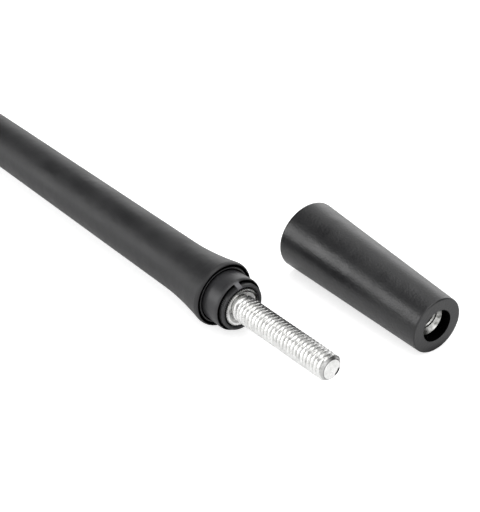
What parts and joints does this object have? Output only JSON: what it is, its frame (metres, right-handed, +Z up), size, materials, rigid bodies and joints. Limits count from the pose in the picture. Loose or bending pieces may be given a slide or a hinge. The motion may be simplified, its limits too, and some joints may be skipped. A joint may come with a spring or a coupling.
{
  "type": "car mast aerial",
  "caption": "Tapered rubber car mast aerial with a flared foot, a toothed metal insert and a screw stud, and its tapered screw-on adapter sleeve lying beside it.",
  "frame": {"origin": "middle of the seat face that the stud stands out of, on the mast's axis", "axes": "+X along the mast's axis and out along the stud, +Z up with the mast and its sleeve lying on their sides"},
  "size_m": [0.4158, 0.0443, 0.0159],
  "materials": {
    "sheath_rubber": "satin moulded rubber",
    "tube_plastic": "satin",
    "collar_plastic": "satin moulded",
    "insert_metal": "bright plated",
    "stud_zinc": "bright zinc plated",
    "ferrule_brass": "turned",
    "glass_fibre": "satin",
    "wire_copper": "enamelled",
    "solder": "dull",
    "sleeve_plastic": "finely textured moulded"
  },
  "bodies": {
    "root": {"mast_sheath": "sheath_rubber", "shrink_tube": "tube_plastic", "base_collar": "collar_plastic", "knurled_insert": "insert_metal", "threaded_stud": "stud_zinc", "crimp_ferrule": "ferrule_brass", "core_rod": "glass_fibre", "aerial_winding": "wire_copper", "base_solder": "solder", "tip_solder": "solder", "tip_cap": "ferrule_brass", "adapter_sleeve": "sleeve_plastic", "adapter_insert": "insert_metal"}
  },
  "joints": []
}
